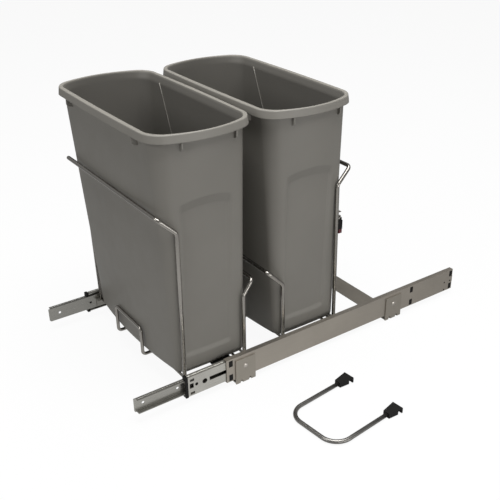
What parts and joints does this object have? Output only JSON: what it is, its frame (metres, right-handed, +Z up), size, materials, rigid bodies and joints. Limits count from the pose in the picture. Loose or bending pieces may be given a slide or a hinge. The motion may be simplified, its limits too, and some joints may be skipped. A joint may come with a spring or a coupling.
{
  "type": "pull out waste bin cabinet insert",
  "caption": "Floor mounted pull out frame on ball bearing slides with a bent wire cage holding grey waste bins, and a loose clip on handle.",
  "frame": {"origin": "middle of the pattern of floor screw holes, on the cabinet floor", "axes": "+Z up, -Y the way the carriage is pulled out, +X to the right of someone who stands in front and pulls"},
  "size_m": [0.6096, 0.7373, 0.473],
  "materials": {
    "zinc_steel": "zinc plated sheet steel with a warm grey nickel tone, satin",
    "slide_steel": "bright zinc plated cold rolled steel, satin",
    "rivet_steel": "bright pressed steel rivets, smooth",
    "cage_steel": "thin bright steel strip with ball windows",
    "ball_steel": "polished bearing steel balls",
    "wire_nickel": "satin nickel plated steel wire",
    "black_plastic": "black moulded plastic, lightly textured",
    "red_plastic": "dark red moulded plastic",
    "grey_polymer": "warm grey moulded bin plastic with a fine satin grain"
  },
  "bodies": {
    "frame": {"right_rail": "zinc_steel", "left_rail": "zinc_steel", "front_foot_right": "zinc_steel", "front_foot_left": "zinc_steel", "rear_cross_member": "zinc_steel", "rail_rivets": "rivet_steel", "rail_plugs": "black_plastic", "rail_rear_stops": "black_plastic"},
    "middle_right": {"middle_slide_right": "slide_steel", "middle_stop_right": "black_plastic"},
    "middle_left": {"middle_slide_left": "slide_steel", "middle_stop_left": "black_plastic"},
    "outer_cage_right": {"outer_ball_cage_right": "cage_steel", "outer_balls_right": "ball_steel"},
    "outer_cage_left": {"outer_ball_cage_left": "cage_steel", "outer_balls_left": "ball_steel"},
    "inner_cage_right": {"inner_ball_cage_right": "cage_steel", "inner_balls_right": "ball_steel"},
    "inner_cage_left": {"inner_ball_cage_left": "cage_steel", "inner_balls_left": "ball_steel"},
    "carriage": {"runner_right": "slide_steel", "runner_left": "slide_steel", "runner_rivets": "rivet_steel", "side_bracket_right": "slide_steel", "side_bracket_left": "slide_steel", "front_loop": "wire_nickel", "front_bin_back_loop": "wire_nickel", "rear_bin_front_loop": "wire_nickel", "rear_loop": "wire_nickel", "base_wires": "wire_nickel", "base_plate": "black_plastic", "front_stop_wire": "wire_nickel", "cage_latch": "black_plastic", "latch_hook": "wire_nickel", "latch_tab": "red_plastic"},
    "front_bin": {"front_bin": "grey_polymer"},
    "rear_bin": {"rear_bin": "grey_polymer"},
    "handle": {"handle_rod": "wire_nickel", "handle_clip_right": "black_plastic", "handle_clip_left": "black_plastic"}
  },
  "joints": [
    {"name": "carriage_slide", "type": "slide", "parent": "frame", "child": "carriage", "axis": [0, -1, 0], "range_m": [-0.169, 0.389]},
    {"name": "middle_right_slide", "type": "slide", "parent": "frame", "child": "middle_right", "axis": [0, -1, 0], "range_m": [-0.0845, 0.1945]},
    {"name": "middle_left_slide", "type": "slide", "parent": "frame", "child": "middle_left", "axis": [0, -1, 0], "range_m": [-0.09295, 0.21395]},
    {"name": "outer_cage_right_slide", "type": "slide", "parent": "frame", "child": "outer_cage_right", "axis": [0, -1, 0], "range_m": [-0.04225, 0.09725]},
    {"name": "outer_cage_left_slide", "type": "slide", "parent": "frame", "child": "outer_cage_left", "axis": [0, -1, 0], "range_m": [-0.04648, 0.10698]},
    {"name": "inner_cage_right_slide", "type": "slide", "parent": "frame", "child": "inner_cage_right", "axis": [0, -1, 0], "range_m": [-0.12675, 0.29175]},
    {"name": "inner_cage_left_slide", "type": "slide", "parent": "frame", "child": "inner_cage_left", "axis": [0, -1, 0], "range_m": [-0.13098, 0.30147]},
    {"name": "front_bin_lift", "type": "slide", "parent": "carriage", "child": "front_bin", "axis": [0, 0, 1], "range_m": [0, 0.45]},
    {"name": "rear_bin_lift", "type": "slide", "parent": "carriage", "child": "rear_bin", "axis": [0, 0, 1], "range_m": [0, 0.45]},
    {"name": "handle_lift", "type": "slide", "parent": "frame", "child": "handle", "axis": [0, 0, 1], "range_m": [0, 0.3]}
  ],
  "couplings": [
    {"joint": "middle_right_slide", "follows": "carriage_slide", "ratio": 0.5},
    {"joint": "middle_left_slide", "follows": "carriage_slide", "ratio": 0.55},
    {"joint": "outer_cage_right_slide", "follows": "carriage_slide", "ratio": 0.25},
    {"joint": "outer_cage_left_slide", "follows": "carriage_slide", "ratio": 0.275},
    {"joint": "inner_cage_right_slide", "follows": "carriage_slide", "ratio": 0.75},
    {"joint": "inner_cage_left_slide", "follows": "carriage_slide", "ratio": 0.775}
  ]
}
